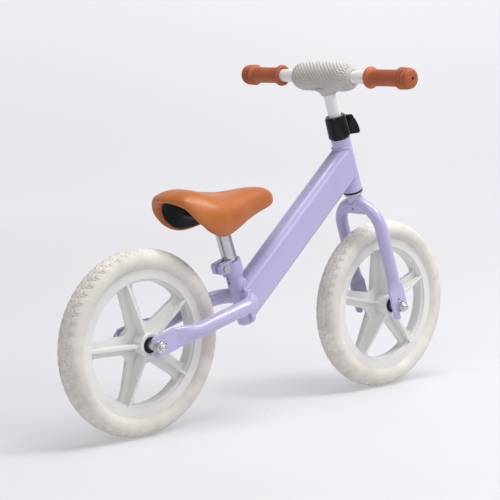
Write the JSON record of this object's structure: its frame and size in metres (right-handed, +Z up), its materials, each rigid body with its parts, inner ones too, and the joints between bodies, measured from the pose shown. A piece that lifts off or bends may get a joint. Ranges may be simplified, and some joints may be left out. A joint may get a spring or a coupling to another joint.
{
  "type": "balance bike",
  "caption": "Child's balance bike with a steel tube frame, foam-tyred spoked wheels, telescoping seat post and stem, padded handlebar and moulded saddle.",
  "frame": {"origin": "on the ground, midway between the wheels, in the middle plane", "axes": "+X forward, +Y to the rider's left, +Z up"},
  "size_m": [0.848, 0.404, 0.5834],
  "materials": {
    "frame_paint": "satin lavender enamel",
    "race_metal": "satin",
    "bushing_plastic": "moulded",
    "bolt_steel": "zinc plated",
    "spacer_metal": "turned",
    "bearing_seal": "matt seal",
    "rim_plastic": "moulded, light sheen",
    "tyre_foam": "matt closed-cell foam",
    "bar_metal": "satin silver",
    "grip_rubber": "matt",
    "pad_fabric": "woven rope texture",
    "clamp_plastic": "gloss",
    "clamp_bolt_black": "gloss black",
    "pad_tab": "woven tape",
    "post_chrome": "polished",
    "bracket_steel": "black",
    "saddle_shell": "moulded",
    "saddle_leather": "smooth satin"
  },
  "bodies": {
    "frame": {"main_tube": "frame_paint", "head_tube": "frame_paint", "head_bushing_lower": "bushing_plastic", "head_bushing_upper": "bushing_plastic", "seat_tube": "frame_paint", "seat_clamp_collar": "frame_paint", "seat_clamp_bolt": "bolt_steel", "seat_clamp_nut": "bolt_steel", "rear_stay_left": "frame_paint", "rear_stay_right": "frame_paint", "rear_axle": "bolt_steel", "rear_axle_nuts": "bolt_steel", "rear_axle_washers": "bolt_steel", "rear_axle_spacers": "spacer_metal", "rear_hub_sleeve": "spacer_metal"},
    "rear_wheel": {"rear_rim": "rim_plastic", "rear_tyre": "tyre_foam", "rear_bearings": "bearing_seal"},
    "fork": {"fork_tube": "frame_paint", "steerer_tube": "frame_paint", "crown_race": "race_metal", "fork_crown_web": "frame_paint", "front_axle": "bolt_steel", "front_axle_nuts": "bolt_steel", "front_axle_washers": "bolt_steel", "front_axle_spacers": "spacer_metal", "front_hub_sleeve": "spacer_metal", "stem_clamp_collar": "clamp_plastic", "stem_clamp_bolt": "clamp_bolt_black", "stem_clamp_nut": "clamp_bolt_black"},
    "front_wheel": {"front_rim": "rim_plastic", "front_tyre": "tyre_foam", "front_bearings": "bearing_seal"},
    "handlebar": {"stem_tube": "bar_metal", "handlebar_tube": "bar_metal", "grip_left": "grip_rubber", "grip_right": "grip_rubber", "bar_pad": "pad_fabric", "pad_closure": "pad_tab"},
    "lever": {"clamp_lever": "clamp_plastic"},
    "saddle": {"seat_post": "post_chrome", "saddle_bracket": "bracket_steel", "saddle_base": "saddle_shell", "saddle_cushion": "saddle_leather", "saddle_screws": "bolt_steel"}
  },
  "joints": [
    {"name": "steering", "type": "hinge", "parent": "frame", "child": "fork", "pos_m": [0.274, 0, 0.15], "axis": [-0.3256, 0, 0.9455], "continuous": true},
    {"name": "front_wheel_spin", "type": "hinge", "parent": "fork", "child": "front_wheel", "pos_m": [0.274, 0, 0.15], "axis": [0, 1, 0], "continuous": true},
    {"name": "rear_wheel_spin", "type": "hinge", "parent": "frame", "child": "rear_wheel", "pos_m": [-0.274, 0, 0.15], "axis": [0, 1, 0], "continuous": true},
    {"name": "handlebar_height", "type": "slide", "parent": "fork", "child": "handlebar", "axis": [-0.3256, 0, 0.9455], "range_m": [-0.025, 0.045]},
    {"name": "clamp_lever", "type": "hinge", "parent": "fork", "child": "lever", "pos_m": [0.18575, 0, 0.48555], "axis": [0, -1, 0], "range_deg": [0, 60]},
    {"name": "seat_height", "type": "slide", "parent": "frame", "child": "saddle", "axis": [-0.3156, 0, 0.9489], "range_m": [-0.006, 0.05]}
  ]
}
